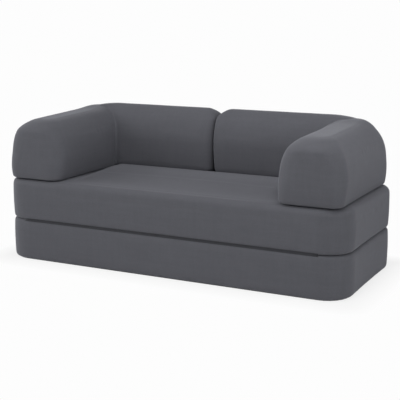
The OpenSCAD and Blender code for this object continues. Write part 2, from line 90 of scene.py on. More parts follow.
# Curves of the bolsters, which stand along Y; the rolls are those of the front and the rear end.
# The inner drop is the top drop of an arm's inner side where it runs into its back.
ARM = {
    "width": 340 * MM, "length": 800 * MM, "height": 319 * MM, "fall": 28 * MM,
    "foot": 12 * MM, "foot_draw": 12 * MM, "foot_run": 120 * MM, "draw": 3 * MM,
    "top_run": 134 * MM, "top_drop": 222 * MM, "top_power": 2.3, "inner_drop": 150 * MM,
    "front_run": 114 * MM, "front_drop": 58 * MM, "rear_run": 106 * MM, "rear_drop": 150 * MM,
    "corner": 95 * MM, "foot_corner": 56 * MM, "rear_corner_add": 28 * MM,
}
ARM_X = 766 * MM
SIDE_GAP = 0.5 * MM
BACK_GAP = 1 * MM
BACK = {
    "width": 233 * MM, "length": ARM_X - ARM["width"] / 2 - SIDE_GAP - BACK_GAP / 2,
    "height": 350 * MM, "fall": 0,
    "foot": 28 * MM, "foot_draw": 8 * MM, "foot_run": 190 * MM, "draw": 2 * MM,
    "top_run": 112 * MM, "top_drop": 190 * MM, "top_power": 1.9, "inner_drop": 190 * MM,
    "front_run": 72 * MM, "front_drop": 56 * MM, "rear_run": 200 * MM, "rear_drop": 60 * MM,
    "corner": 36 * MM, "foot_corner": 36 * MM, "rear_corner_add": 0,
}
END_POWER = 1.7
CORNER_SHARE = 0.5
CHANGE_SHARE = 0.21

# Inner corner between an arm and its back, where the mitre starts
MITRE_X = ARM_X - (ARM["width"] + SIDE_GAP) / 2
MITRE_Y = 165 * MM

# Camera, solved from the edges of the object in the photograph
CAMERA_PLACE = (2.2453, -4.3991, 1.3423)
CAMERA_PITCH = 11.63
CAMERA_YAW = 26.84
CAMERA_LENS = 85.75
CAMERA_SENSOR = 36
CAMERA_END = 100


def make_camera():
    data = bpy.data.cameras.new("camera")
    data.lens = CAMERA_LENS
    data.sensor_width = CAMERA_SENSOR
    data.clip_end = CAMERA_END
    camera = bpy.data.objects.new("camera", data)
    camera.location = CAMERA_PLACE
    camera.rotation_euler = (math.radians(90 - CAMERA_PITCH), 0, math.radians(CAMERA_YAW))
    bpy.context.scene.collection.objects.link(camera)
    bpy.context.scene.camera = camera


make_camera()


# Shader expressions

class Value:
    """One output of a shader node, on which sums are written as Python expressions."""

    def __init__(self, shader, output):
        self.shader = shader
        self.output = output

    def math(self, operation, *others):
        return self.shader.node("ShaderNodeMath", {"operation": operation},
                                dict(enumerate((self, *others))))

    def __add__(self, other):
        return self.math("ADD", other)

    def __sub__(self, other):
        return self.math("SUBTRACT", other)

    def __mul__(self, other):
        return self.math("MULTIPLY", other)

    def __truediv__(self, other):
        return self.math("DIVIDE", other)

    def __pow__(self, other):
        return self.math("POWER", other)

    def __rsub__(self, other):
        return (self * -1) + other

    __radd__ = __add__

    def clamped(self):
        return self.math("MAXIMUM", 0).math("MINIMUM", 1)

    def above(self, edge, width):
        """0 below edge, 1 above edge plus width, straight in between."""
        return ((self - edge) / width).clamped()


class Shader:
    """Node tree of a material or of the world."""

    def __init__(self, owner):
        owner.use_nodes = True
        self.owner = owner
        self.tree = owner.node_tree
        self.tree.nodes.clear()

    def node(self, kind, settings, sockets, output=0):
        """Adds a node: its settings first, then the values or links of its sockets."""
        made = self.tree.nodes.new(kind)
        for name, setting in settings.items():
            setattr(made, name, setting)
        for name, value in sockets.items():
            if isinstance(value, Value):
                self.tree.links.new(value.output, made.inputs[name])
            else:
                made.inputs[name].default_value = value
        return Value(self, made.outputs[output])

    def place(self):
        """Position on the piece, in metres, fixed to the piece as it moves."""
        return self.node("ShaderNodeTexCoord", {}, {}, "Object")

    def stretched(self, place, scale):
        return self.node("ShaderNodeVectorMath", {"operation": "MULTIPLY"},
                         {0: place, 1: scale})

    def noise(self, place, scale, detail=2.0, roughness=0.5):
        return self.node("ShaderNodeTexNoise", {},
                         {"Vector": place, "Scale": scale, "Detail": detail,
                          "Roughness": roughness})

    def axis(self, place, name):
        return self.node("ShaderNodeSeparateXYZ", {}, {0: place}, name)

    def mix(self, share, tones):
        """Colour between a dark and a light tone by share."""
        dark, light = (rgb(*tone) for tone in tones)
        return self.node("ShaderNodeMix", {"data_type": "RGBA"}, {0: share, 6: dark, 7: light}, 2)

    def bump(self, height, distance, strength):
        return self.node("ShaderNodeBump", {},
                         {"Height": height, "Distance": distance, "Strength": strength})

    def finish(self, sockets):
        self.surface(self.node("ShaderNodeBsdfPrincipled", {}, sockets))
        return self.owner

    def surface(self, shaded, kind="ShaderNodeOutputMaterial"):
        """Ends the tree in its surface."""
        end = self.tree.nodes.new(kind)
        self.tree.links.new(shaded.output, end.inputs["Surface"])


def material_shader(name):
    return Shader(bpy.data.materials.new(name))


def rgb(red, green, blue):
    return (red, green, blue, 1)


# Scales of the textures, in features per metre
MOTTLE_SCALE = 9
BRUSHED_UP = (45, 45, 7)
BRUSHED_ALONG = (6, 6, 60)
NAP_SCALE = 170
PILE_SCALE = 900
CELL_SCALE = 420
FOAM_PATCH_SCALE = 12
FUZZ_SCALE = 1500
SCUFF_SCALE = 380
HOOK_SCALE = 620
TUFT_SCALE = 520
TUFT_PATCH_SCALE = 45
RUB_SCALE = 260
DOT_SCALE = 90
FIBRE_SCALE = 700

# Pitch of a tape's weave, and the divisor that turns it into a wave texture's scale
WARP_PITCH = 1.1 * MM
WAVE_TURN = 6

# Dark and light tone of each material, and the share of the velvet's tone that the hinge strip
# keeps, darkened as painted shade for the groove between the slabs
VELVET_TONES = ((0.083, 0.084, 0.096), (0.13, 0.132, 0.15))
FIRM_FOAM_TONES = ((0.55, 0.5, 0.33), (0.78, 0.73, 0.52))
SOFT_FOAM_TONES = ((0.62, 0.66, 0.68), (0.85, 0.88, 0.9))
TAPE_TONES = ((0.04, 0.041, 0.046), (0.075, 0.077, 0.085))
TEETH_TONES = ((0.03, 0.03, 0.034), (0.06, 0.06, 0.066))
HOOK_TONES = ((0.014, 0.014, 0.016), (0.06, 0.06, 0.067))
LOOP_TONES = ((0.02, 0.02, 0.023), (0.085, 0.086, 0.095))
METAL_TONES = ((0.1, 0.1, 0.105), (0.24, 0.24, 0.25))
PANEL_TONES = ((0.012, 0.012, 0.013), (0.04, 0.04, 0.043))
GROOVE_PAINTED_SHADE = 0.42


def velvet(name, shade=1.0):
    """Charcoal short-pile velvet, softly brushed; a share below 1 darkens its colour and sheen as
    painted shade, for the hinge strip that lies in the shadowed groove between the slabs.
    """
    shader = material_shader(name)
    place = shader.place()
    mottle = shader.noise(place, MOTTLE_SCALE, 4, 0.6)
    brushed = (shader.noise(shader.stretched(place, BRUSHED_UP), 1, 3, 0.6)
               + shader.noise(shader.stretched(place, BRUSHED_ALONG), 1, 3, 0.6)) * 0.5
    nap = shader.noise(place, NAP_SCALE, 2, 0.7)
    pile = shader.noise(place, PILE_SCALE, 2, 0.6)
    tone = ((mottle - 0.5) * 0.35 + (brushed - 0.5) * 0.6 + (nap - 0.5) * 0.4
            + (pile - 0.5) * 0.3 + 0.5).clamped()
    tones = [[part * shade for part in colour] for colour in VELVET_TONES]
    height = nap * 0.5 + pile * 0.5
    return shader.finish({
        "Base Color": shader.mix(tone, tones),
        "Roughness": 0.86 + (mottle - 0.5) * 0.1,
        "Specular IOR Level": 0.25,
        "Sheen Weight": 0.25 * shade,
        "Sheen Roughness": 0.4,
        "Sheen Tint": rgb(0.8, 0.82, 0.9),
        "Normal": shader.bump(height, 0.6 * MM, 0.35),
    })


def foam(name, tones):
    """Cut foam with open cells."""
    shader = material_shader(name)
    place = shader.place()
    cells = shader.node("ShaderNodeTexVoronoi", {}, {"Vector": place, "Scale": CELL_SCALE},
                        "Distance")
    large = shader.noise(place, FOAM_PATCH_SCALE, 3)
    return shader.finish({
        "Base Color": shader.mix((cells * 0.8 + large * 0.4).clamped(), tones),
        "Roughness": 0.95,
        "Specular IOR Level": 0.2,
        "Normal": shader.bump(cells, 1 * MM, 0.5),
    })


def woven_tape(name, tones):
    """Closely woven tape."""
    shader = material_shader(name)
    place = shader.place()
    warp = shader.node("ShaderNodeTexWave", {"bands_direction": "DIAGONAL"},
                       {"Vector": place, "Scale": 1 / WARP_PITCH / WAVE_TURN,
                        "Distortion": 1.5, "Detail": 1.0}, "Fac")
    fuzz = shader.noise(place, FUZZ_SCALE, 2)
    return shader.finish({
        "Base Color": shader.mix((warp * 0.6 + fuzz * 0.5).clamped(), tones),
        "Roughness": 0.85,
        "Sheen Weight": 0.15,
        "Normal": shader.bump(warp, 0.4 * MM, 0.5),
    })


def moulded(name, tones):
    """Moulded plastic, faintly scuffed."""
    shader = material_shader(name)
    scuffed = shader.noise(shader.place(), SCUFF_SCALE, 4, 0.7)
    return shader.finish({
        "Base Color": shader.mix(scuffed, tones),
        "Roughness": 0.35 + scuffed * 0.25,
        "Normal": shader.bump(scuffed, 0.1 * MM, 0.3),
    })


def hook_tape(name):
    """Stiff tape covered with rows of small hooks."""
    shader = material_shader(name)
    place = shader.place()
    hooks = shader.node("ShaderNodeTexVoronoi", {},
                        {"Vector": place, "Scale": HOOK_SCALE, "Randomness": 0.35}, "Distance")
    raised = 1 - hooks.above(0.15, 0.35)
    return shader.finish({
        "Base Color": shader.mix(raised, HOOK_TONES),
        "Roughness": 0.7 - raised * 0.25,
        "Normal": shader.bump(raised, 1.2 * MM, 0.8),
    })


def loop_tape(name):
    """Soft tape covered with brushed loops."""
    shader = material_shader(name)
    place = shader.place()
    tufts = shader.noise(place, TUFT_SCALE, 4, 0.75)
    patches = shader.noise(place, TUFT_PATCH_SCALE, 2)
    return shader.finish({
        "Base Color": shader.mix((tufts * 0.8 + patches * 0.2).clamped(), LOOP_TONES),
        "Roughness": 0.95,
        "Sheen Weight": 0.3,
        "Normal": shader.bump(tufts, 1.5 * MM, 0.8),
    })


def dark_metal(name):
    """Dark plated zinc, rubbed lighter in patches."""
    shader = material_shader(name)
    rubbed = shader.noise(shader.place(), RUB_SCALE, 3)
    return shader.finish({
        "Base Color": shader.mix(rubbed, METAL_TONES),
        "Metallic": 1.0,
        "Roughness": 0.3 + rubbed * 0.2,
        "Normal": shader.bump(rubbed, 0.1 * MM, 0.3),
    })


def dotted_cloth(name):
    """Spunbond cloth with rows of small rubber dots."""
    shader = material_shader(name)
    place = shader.place()
    dots = shader.node("ShaderNodeTexVoronoi", {},
                       {"Vector": place, "Scale": DOT_SCALE, "Randomness": 0.0}, "Distance")
    raised = 1 - dots.above(0.22, 0.06)
    fibres = shader.noise(place, FIBRE_SCALE, 3)
    return shader.finish({
        "Base Color": shader.mix((fibres * 0.6).clamped(), PANEL_TONES),
        "Roughness": 0.9 - raised * 0.35,
        "Normal": shader.bump(raised + fibres * 0.2, 1 * MM, 0.6),
    })


# Forms

# Steps round a corner and along a side of an outline, and passes that relax a remeshed piece
ARC_STEPS = 12
RUN_STEPS = 20
RELAX_STEPS = 3


def smooth(u):
    """0 up to 0, 1 from 1 on, and an even curve in between."""
    c = np.clip(u, 0, 1)
    return c * c * (3 - 2 * c)


def dome(u, power):
    """Share of its half span that a full curve keeps at share u of its height."""
    return max(1 - min(max(u, 0), 1) ** power, 0) ** (1 / power)


def rounded_ring(half_x, front, rear, radius, rear_radius,
                 arcs=ARC_STEPS, runs=RUN_STEPS):
    """Closed outline with round corners, anticlockwise from the front left."""
    corners = ((radius - half_x, radius - front, 180, radius),
               (half_x - radius, radius - front, -90, radius),
               (half_x - rear_radius, rear - rear_radius, 0, rear_radius),
               (rear_radius - half_x, rear - rear_radius, 90, rear_radius))
    points = []
    for (x, y, start, bend), following in zip(corners, corners[1:] + corners[:1]):
        turns = [math.radians(start + 90 * i / arcs) for i in range(arcs + 1)]
        arc = [(x + bend * math.cos(t), y + bend * math.sin(t)) for t in turns]
        points.extend(arc)
        next_x, next_y, next_start, next_bend = following
        turn = math.radians(next_start)
        to_x = next_x + next_bend * math.cos(turn)
        to_y = next_y + next_bend * math.sin(turn)
        for i in range(1, runs):
            share = i / runs
            points.append((arc[-1][0] + (to_x - arc[-1][0]) * share,
                           arc[-1][1] + (to_y - arc[-1][1]) * share))
    return np.array(points)


def made_piece(name, points, faces):
    """New piece with its faces turned outwards."""
    mesh = bpy.data.meshes.new(name)
    mesh.from_pydata(np.asarray(points).tolist(), [], faces)
    shape = bmesh.new()
    shape.from_mesh(mesh)
    bmesh.ops.recalc_face_normals(shape, faces=shape.faces)
    shape.to_mesh(mesh)
    shape.free()
    piece = bpy.data.objects.new(name, mesh)
    bpy.context.scene.collection.objects.link(piece)
    return piece


def lofted(name, rings):
    """Closed mesh through rings of equally many points, with a flat face at each end."""
    count = len(rings[0])
    faces = [tuple(range(count))[::-1]]
    for level in range(len(rings) - 1):
        low, high = level * count, (level + 1) * count
        for i in range(count):
            j = (i + 1) % count
            faces.append((low + i, low + j, high + j, high + i))
    faces.append(tuple(range((len(rings) - 1) * count, len(rings) * count)))
    return made_piece(name, np.concatenate(rings), faces)


def copied(piece):
    twin = piece.copy()
    twin.data = piece.data.copy()
    bpy.context.scene.collection.objects.link(twin)
    return twin


def settle_modifiers(piece):
    """Applies every modifier of a piece to its mesh."""
    graph = bpy.context.evaluated_depsgraph_get()
    made = bpy.data.meshes.new_from_object(piece.evaluated_get(graph))
    piece.modifiers.clear()
    old = piece.data
    piece.data = made
    made.name = piece.name
    bpy.data.meshes.remove(old)


def remove(piece):
    mesh = piece.data
    bpy.data.objects.remove(piece)
    bpy.data.meshes.remove(mesh)


def evened(piece, voxel):
    """Gives a piece evenly spaced faces over the same surface."""
    exact = copied(piece)
    remesh = piece.modifiers.new("even", "REMESH")
    remesh.mode = "VOXEL"
    remesh.voxel_size = voxel
    relax = piece.modifiers.new("relax", "SMOOTH")
    relax.iterations = RELAX_STEPS
    wrap = piece.modifiers.new("wrap", "SHRINKWRAP")
    wrap.target = exact
    settle_modifiers(piece)
    remove(exact)
    return piece


def points_of(mesh):
    flat = np.zeros(len(mesh.vertices) * 3)
    mesh.vertices.foreach_get("co", flat)
    return flat.reshape(-1, 3)


def normals_of(mesh):
    flat = np.zeros(len(mesh.vertices) * 3)
    mesh.vertex_normals.foreach_get("vector", flat)
    return flat.reshape(-1, 3)


def set_points(mesh, points):
    mesh.vertices.foreach_set("co", np.asarray(points, np.float32).ravel())
    mesh.update()


# Slabs

# Rings round an edge and up a side, and how sharply the drawing-in keeps to the outline
EDGE_STEPS = 8
SIDE_STEPS = 8
DRAW_POWER = 8


def slab_levels(low_r, high_r, thickness):
    """Level and inset of each ring up the side of a slab."""
    turns = [math.pi / 2 * i / EDGE_STEPS for i in range(EDGE_STEPS + 1)]
    levels = [(low_r * (1 - math.cos(turn)), low_r * (1 - math.sin(turn))) for turn in turns]
    levels += [(low_r + (thickness - low_r - high_r) * i / SIDE_STEPS, 0)
               for i in range(1, SIDE_STEPS)]
    levels += [(thickness - high_r * (1 - math.cos(turn)), high_r * (1 - math.sin(turn)))
               for turn in reversed(turns)]
    return [(z, inset + SLAB_BULGE * (2 * z / thickness - 1) ** 2) for z, inset in levels]


def slab_ring(z, inset, width, depth, corner, side_share):
    """Ring of a slab: the front and the ends draw in between the corners."""
    half_x, half_y = width / 2 - inset * side_share, depth / 2 - inset
    ring = rounded_ring(half_x, half_y, half_y, corner - inset, corner - inset)
    x, y = ring[:, 0].copy(), ring[:, 1].copy()
    ends = np.maximum(1 - (y / (half_y - corner)) ** 2, 0) * np.abs(x / half_x) ** DRAW_POWER
    front = np.maximum(1 - (x / (half_x - corner)) ** 2, 0) * np.abs(y / half_y) ** DRAW_POWER
    return np.column_stack([x - np.sign(x) * SLAB_DRAW * ends,
                            y + (y < 0) * SLAB_DRAW * front, np.full(len(x), z)])


def slab(name, low, high, low_r, high_r, corner, low_share=1, high_share=1):
    """Slab between two corners of its box; the shares widen its edges at the ends."""
    width, depth = high.x - low.x, high.y - low.y
    middle = (high.z - low.z) / 2
    return lofted(name, [slab_ring(low.z + z, inset, width, depth, corner,
                                   low_share if z < middle else high_share)
                         for z, inset in slab_levels(low_r, high_r, high.z - low.z)])


# Bolsters

# Rings round the foot, up the side and over the top, the least share of its radius that a foot
# set in keeps, the share of the half width that a corner takes at most, and the distance
# within which a cut snaps to a point
FOOT_STEPS = 6
WALL_STEPS = 6
TOP_STEPS = 40
FOOT_KEPT = 0.25
CORNER_LIMIT = 0.98
CUT_SNAP = 0.001 * MM


def foot_radius(curve, set_in):
    return max(curve["foot"] - set_in, curve["foot"] * FOOT_KEPT)


def bolster_ring(curve, past_rear, inner, set_in, z):
    """Ring of a bolster along Y at level z, set in by set_in and reaching past_rear beyond its
    rear end; inner is the sign of X on the side that changes towards the mitre, or 0."""
    width, length, height = curve["width"], curve["length"], curve["height"]
    body = height - 2 * set_in
    foot = foot_radius(curve, set_in)
    side_in = set_in + curve["foot_draw"] * max(1 - (z + set_in) / curve["foot_run"], 0) ** 2
    if z < foot:
        side_in += foot - math.sqrt(foot ** 2 - (foot - z) ** 2)

    def rolled(run, drop, power):
        rise = drop - set_in
        return (run - set_in) * (1 - dome((z - body + rise) / rise, power))

    half_x = width / 2 - side_in - rolled(curve["top_run"], curve["top_drop"], curve["top_power"])
    rear_half_x = (width / 2 - side_in
                   - rolled(curve["top_run"], curve["inner_drop"], curve["top_power"]))
    front = length / 2 - side_in - rolled(curve["front_run"], curve["front_drop"], END_POWER)
    rear = (length / 2 + past_rear - side_in
            - rolled(curve["rear_run"], curve["rear_drop"], END_POWER))
    grown = float(smooth(z / (CORNER_SHARE * height)))
    corner = curve["foot_corner"] + (curve["corner"] - curve["foot_corner"]) * grown - set_in
    ring = rounded_ring(half_x, front, rear, min(corner, half_x * CORNER_LIMIT),
                        min(corner + curve["rear_corner_add"], half_x * CORNER_LIMIT))
    x, y = ring[:, 0], ring[:, 1]
    narrowed = 1 - 2 * curve["draw"] / width * np.maximum(1 - (2 * y / length) ** 2, 0)
    change = smooth(y / (CHANGE_SHARE * length)) * (x * inner > 0)
    level = set_in + z * (1 + curve["fall"] / height * y / length)
    return np.column_stack([x * narrowed * (1 + change * (rear_half_x / half_x - 1)), y, level])


def bolster(name, curve, past_rear, inner, set_in):
    """Bolster along Y with its foot at z = 0."""
    body = curve["height"] - 2 * set_in
    foot = foot_radius(curve, set_in)
    drop = curve["top_drop"] - set_in
    levels = [foot * (1 - math.cos(math.pi / 2 * i / FOOT_STEPS)) for i in range(FOOT_STEPS + 1)]
    levels += [foot + (body - drop - foot) * i / WALL_STEPS for i in range(1, WALL_STEPS)]
    levels += [body - drop + drop * math.sin(math.pi / 2 * i / TOP_STEPS)
               for i in range(TOP_STEPS + 1)]
    return lofted(name, [bolster_ring(curve, past_rear, inner, set_in, z) for z in levels])


def joined(piece, other, operation):
    """Adds another piece to a piece, or takes it away."""
    join = piece.modifiers.new("join", "BOOLEAN")
    join.operation = operation
    join.solver = "MANIFOLD"
    join.object = other
    settle_modifiers(piece)
    remove(other)
    return piece


def corner_bolster(name, set_in):
    """Left corner bolster, an arm form and a back form that run into each other."""
    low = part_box("left_arm_cover")[0]
    arm = bolster(name, ARM, 0, 1, set_in)
    arm.data.transform(Matrix.Translation((-ARM_X, low.y + ARM["length"] / 2, low.z)))
    back = bolster(name + "_back", BACK, BACK["width"], 0, set_in)
    centre = (-(BACK["length"] + BACK_GAP) / 2, MITRE_Y + BACK["width"] / 2, low.z)
    back.data.transform(Matrix.Translation(centre) @ Matrix.Rotation(math.pi / 2, 4, "Z"))
    return joined(arm, back, "UNION")


def mirrored(piece, name):
    """Copy of a piece on the other side of the sofa."""
    twin = copied(piece)
    twin.name = name
    twin.data.name = name
    twin.data.transform(Matrix.Scale(-1, 4, (1, 0, 0)))
    twin.data.flip_normals()
    return twin


def mitre(side):
    """Point on the mitre's plane, and the plane's direction from the arm to the back."""
    sign = -1 if side == "left" else 1
    return Vector((sign * MITRE_X, MITRE_Y, 0)), Vector((-sign, 1, 0)).normalized()


def kept_section(piece, side, kind, set_in):
    """Cuts a corner bolster off at its mitre and keeps its arm or its back."""
    corner, rearward = mitre(side)
    keep = -1 if kind == "arm" else 1
    shape = bmesh.new()
    shape.from_mesh(piece.data)
    cut = bmesh.ops.bisect_plane(
        shape, geom=shape.verts[:] + shape.edges[:] + shape.faces[:], dist=CUT_SNAP,
        plane_co=corner + rearward * keep * (SIDE_GAP / 2 + set_in),
        plane_no=rearward * -keep, clear_outer=True)
    edges = [item for item in cut["geom_cut"] if isinstance(item, bmesh.types.BMEdge)]
    bmesh.ops.holes_fill(shape, edges=edges)
    bmesh.ops.triangulate(shape, faces=[face for face in shape.faces if len(face.verts) > 4])
    shape.to_mesh(piece.data)
    shape.free()


# Cloth

# Frames of the cloth simulation and the settings of its cloth
CLOTH_FRAMES = 20
CLOTH = {
    "quality": 4, "mass": 0.3, "tension_stiffness": 25, "compression_stiffness": 25,
    "shear_stiffness": 12, "bending_stiffness": 1.5, "use_pressure": True,
    "uniform_pressure_force": 1,
}

# Scale and share of each layer of the ripple, and the number of its seeds
RIPPLE_LAYERS = ((7, 1), (19, 0.5))
RIPPLE_SEEDS = 97


def hold_weights(piece, hold):
    return np.array([hold(*p) for p in points_of(piece.data)])


def puff(covers, slack):
    """Blows covers up as cloth, from slack inside their shape and back to it at most.

    covers is a list of (piece, hold), where hold(x, y, z) is 1 where the cloth is held."""
    states = []
    for piece, hold in covers:
        points = points_of(piece.data)
        weights = hold_weights(piece, hold)
        start = points - normals_of(piece.data) * (slack * (1 - weights))[:, None]
        set_points(piece.data, start)
        group = piece.vertex_groups.new(name="held")
        for index, weight in enumerate(weights):
            if weight > 0:
                group.add([index], float(weight), "REPLACE")
        cloth = piece.modifiers.new("cloth", "CLOTH")
        for name, setting in CLOTH.items():
            setattr(cloth.settings, name, setting)
        cloth.settings.effector_weights.gravity = 0
        cloth.settings.vertex_group_mass = "held"
        cloth.point_cache.frame_start = 1
        cloth.point_cache.frame_end = CLOTH_FRAMES
        states.append((piece, start))
    for frame_number in range(1, CLOTH_FRAMES + 1):
        bpy.context.scene.frame_set(frame_number)
    graph = bpy.context.evaluated_depsgraph_get()
    for piece, start in states:
        blown = points_of(piece.evaluated_get(graph).data)
        normals = normals_of(piece.data)
        outward = np.clip(((blown - start) * normals).sum(axis=1), 0, slack)
        piece.modifiers.clear()
        piece.vertex_groups.clear()
        set_points(piece.data, start + normals * outward[:, None])
    bpy.context.scene.frame_set(1)


def rippled(piece, depth, hold):
    """Shallow unevenness of cloth over foam."""
    points = points_of(piece.data)
    normals = normals_of(piece.data)
    seed = Vector((len(points) % RIPPLE_SEEDS, 0, 0))
    ripple = np.array([sum(share * noise.noise(Vector(p) * scale + seed)
                           for scale, share in RIPPLE_LAYERS) for p in points])
    sunk = depth * np.clip(0.5 + 0.5 * ripple, 0, 1) * (1 - hold_weights(piece, hold))
    set_points(piece.data, points - normals * sunk[:, None])


def rounded_off(piece):
    """Adds one subdivision and smooth shading."""
    divide = piece.modifiers.new("divide", "SUBSURF")
    divide.levels = 1
    divide.render_levels = 1
    settle_modifiers(piece)
    piece.data.shade_smooth()


def dress(piece, material, body, slot, *nodes):
    """Gives a piece its material, its body, if it rides on one, and the nodes it stands for."""
    piece.data.materials.clear()
    piece.data.materials.append(material)
    if body:
        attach(piece, body)
    if nodes:
        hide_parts(*nodes)


# Covers

# How far the cloth starts inside its shape, the depth of its ripple and the size of its faces
PUFF = 1.5 * MM
RIPPLE = 0.8 * MM
SLAB_VOXEL = 12 * MM
BOLSTER_VOXEL = 7 * MM

# Bands in which the cloth is held: off a flat face, and off the rear and beside its zip
REST_BAND = 14 * MM
ZIP_REACH = 6 * MM
ZIP_BAND = 26 * MM

# Half width and depth of the seam at a mitre, how far it ends from the crease, and the distances
# within which a cut snaps to a point and a point counts as on the seam
SEAM_W = 3.5 * MM
SEAM_D = 1.2 * MM
CREASE_REACH = 90 * MM
SEAM_SNAP = 0.01 * MM
SEAM_FOUND = 0.05 * MM

# Filled shoulder, and the crease below it, which sinks in diagonally and fades upwards
FILL_X = 768 * MM
FILL_Y = 248 * MM
FILL_REACH = 80 * MM
FILL_H = 9 * MM
CREASE_W = 24 * MM
CREASE_D = 8 * MM
CREASE_FADE = 0.7
DIAGONAL = 0.7

# Play of a zip in its channel, and how far the cutter reaches below it
CHANNEL_GAP = 0.3 * MM
CHANNEL_BELOW = 30 * MM


def eased(distance, width):
    """1 at no distance, 0 at width and beyond."""
    return float(smooth(1 - distance / width))


def slab_hold(low, high):
    """Held at both flat faces and round the zip at the rear."""
    middle = (low.z + high.z) / 2

    def hold(x, y, z):
        flat = eased(min(z - low.z, high.z - z), REST_BAND)
        zipped = eased(high.y - y, ZIP_REACH) * eased(abs(z - middle), ZIP_BAND)
        return max(flat, zipped)
    return hold


def bolster_hold(low):
    """Held at the foot, where the tapes are."""
    return lambda x, y, z: eased(z - low.z, REST_BAND)


def crowned(piece, low, high):
    """Raises the seat's top between the bolsters."""
    top = high.z - CROWN_H
    points = points_of(piece.data)
    x, y, z = points.T
    rise = (smooth((CROWN_X - np.abs(x)) / CROWN_RUN) * smooth((CROWN_Y - y) / CROWN_RUN)
            * smooth((y - low.y - SEAT_EDGE_R) / CROWN_FRONT_RUN))
    points[:, 2] += CROWN_H * rise * (z > (low.z + top) / 2)
    set_points(piece.data, points)


def filled_corner(piece):
    """Raises the shoulder where an arm's top runs into the back's, and deepens their crease."""
    points = points_of(piece.data)
    x, y, z = points.T
    near = np.exp(-((x + FILL_X) ** 2 + (y - FILL_Y) ** 2) / FILL_REACH ** 2)
    up = (z - z.min()) / ARM["height"]
    points[:, 2] += FILL_H * near * smooth(2 * up - 1)
    crease = (smooth(1 - np.hypot(x + MITRE_X, y - MITRE_Y) / CREASE_W)
              * (1 - CREASE_FADE * smooth(up)))
    points[:, 0] -= CREASE_D * DIAGONAL * crease
    points[:, 1] += CREASE_D * DIAGONAL * crease
    set_points(piece.data, points)
    return piece


def sewn(piece, point, normal):
    """Sinks a seam into a cover along a plane, except in the crease at the plane's point."""
    shape = bmesh.new()
    shape.from_mesh(piece.data)
    shape.normal_update()
    for offset in (-SEAM_W, SEAM_W, 0):
        bmesh.ops.bisect_plane(shape, geom=shape.verts[:] + shape.edges[:] + shape.faces[:],
                               dist=SEAM_SNAP, plane_co=point + normal * offset, plane_no=normal)
    shape.normal_update()
    for vert in shape.verts:
        beyond = (vert.co.xy - point.xy).length > CREASE_REACH
        if beyond and abs((vert.co - point).dot(normal)) < SEAM_FOUND:
            vert.co -= vert.normal * SEAM_D
    shape.to_mesh(piece.data)
    shape.free()


def cut_channel(piece, node):
    """Cuts the channel that hides a bolster's zip out of its cover."""
    low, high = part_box(node)
    x0, x1 = low.x - CHANNEL_GAP, high.x + CHANNEL_GAP
    y0, y1 = low.y - CHANNEL_GAP, high.y + CHANNEL_GAP
    rings = [np.array([(x0, y0, z), (x1, y0, z), (x1, y1, z), (x0, y1, z)])
             for z in (low.z - CHANNEL_BELOW, high.z + CHANNEL_GAP)]
    joined(piece, lofted("channel", rings), "DIFFERENCE")


def make_slab_cover(name):
    low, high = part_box(name + "_cover")
    if name == "base":
        piece = slab("base_velvet", low, high, FLOOR_R, BASE_SEAM_R, SLAB_CORNER_R,
                     high_share=SEAM_SIDE_SHARE)
    else:
        flat_high = Vector((high.x, high.y, high.z - CROWN_H))
        piece = slab("seat_velvet", low, flat_high, SEAT_SEAM_R, SEAT_EDGE_R, SLAB_CORNER_R,
                     low_share=SEAM_SIDE_SHARE)
    evened(piece, SLAB_VOXEL)
    if name == "seat":
        crowned(piece, low, high)
    return piece, slab_hold(low, high)


def make_covers(cloth_material):
    covers = {name: make_slab_cover(name) for name in ("base", "seat")}
    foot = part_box("left_arm_cover")[0]
    left = filled_corner(evened(corner_bolster("left_bolster_velvet", 0), BOLSTER_VOXEL))
    covers["left_bolster"] = (left, bolster_hold(foot))
    puff(list(covers.values()), PUFF)
    right = mirrored(left, "right_bolster_velvet")
    covers["right_bolster"] = (right, bolster_hold(foot))
    for body, (piece, hold) in covers.items():
        rippled(piece, RIPPLE, hold)
        rounded_off(piece)
        nodes = [body + "_cover"]
        side = body.split("_")[0]
        if side in SIDES:
            nodes = [f"{side}_{kind}_cover" for kind in ("arm", "back")]
            sewn(piece, *mitre(side))
            for kind in ("arm", "back"):
                cut_channel(piece, f"{side}_{kind}_zip")
        piece.data.shade_smooth()
        dress(piece, cloth_material, body, "velvet_cover", *nodes)


# Foam

# Gap to the cover's wall, and the edges of a block outside and at the split
FOAM_GAP = 0.6 * MM
FOAM_EDGE = 8.5 * MM
SPLIT_EDGE = 2 * MM


def make_slab_foam(body, firm, soft):
    """The firm core and the soft layer of a slab, which meet in a sharp flat split."""
    for kind, material, slot in (("foam_core", firm, "core_foam"),
                                 ("comfort_layer", soft, "comfort_foam")):
        node = f"{body}_{kind}"
        low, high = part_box(node)
        upper = (kind == "comfort_layer") == (body == "base")
        low_r, high_r = (SPLIT_EDGE, FOAM_EDGE) if upper else (FOAM_EDGE, SPLIT_EDGE)
        corner = SLAB_CORNER_R - COVER_WALL - FOAM_GAP
        piece = slab(node + "_block", low, high, low_r, high_r, corner)
        dress(piece, material, body, slot, node)


def make_bolster_foam(material):
    whole = corner_bolster("bolster_foam", COVER_WALL + FOAM_GAP)
    other = mirrored(whole, "right_bolster_foam")
    for side, form in (("left", whole), ("right", other)):
        for kind in ("arm", "back"):
            node = f"{side}_{kind}_foam_core"
            piece = copied(form)
            piece.name = node + "_block"
            kept_section(piece, side, kind, COVER_WALL + FOAM_GAP)
            dress(piece, material, side + "_bolster", "core_foam", node)
        remove(form)


# Zips, laid out along X with the tape's back at z = 0, then turned to their place

TAPE_T = 1 * MM
TAPE_GAP = 0.2 * MM
COIL_W = 5.6 * MM
COIL_T = 2 * MM
TOOTH_PITCH = 2.8 * MM
TOOTH_SHARE = 0.74
TOOTH_SHIFT = 0.4 * MM
COIL_SHAPE = ((-0.5, 0), (0.5, 0), (0.5, 0.5), (0.25, 1), (-0.25, 1), (-0.5, 0.5))


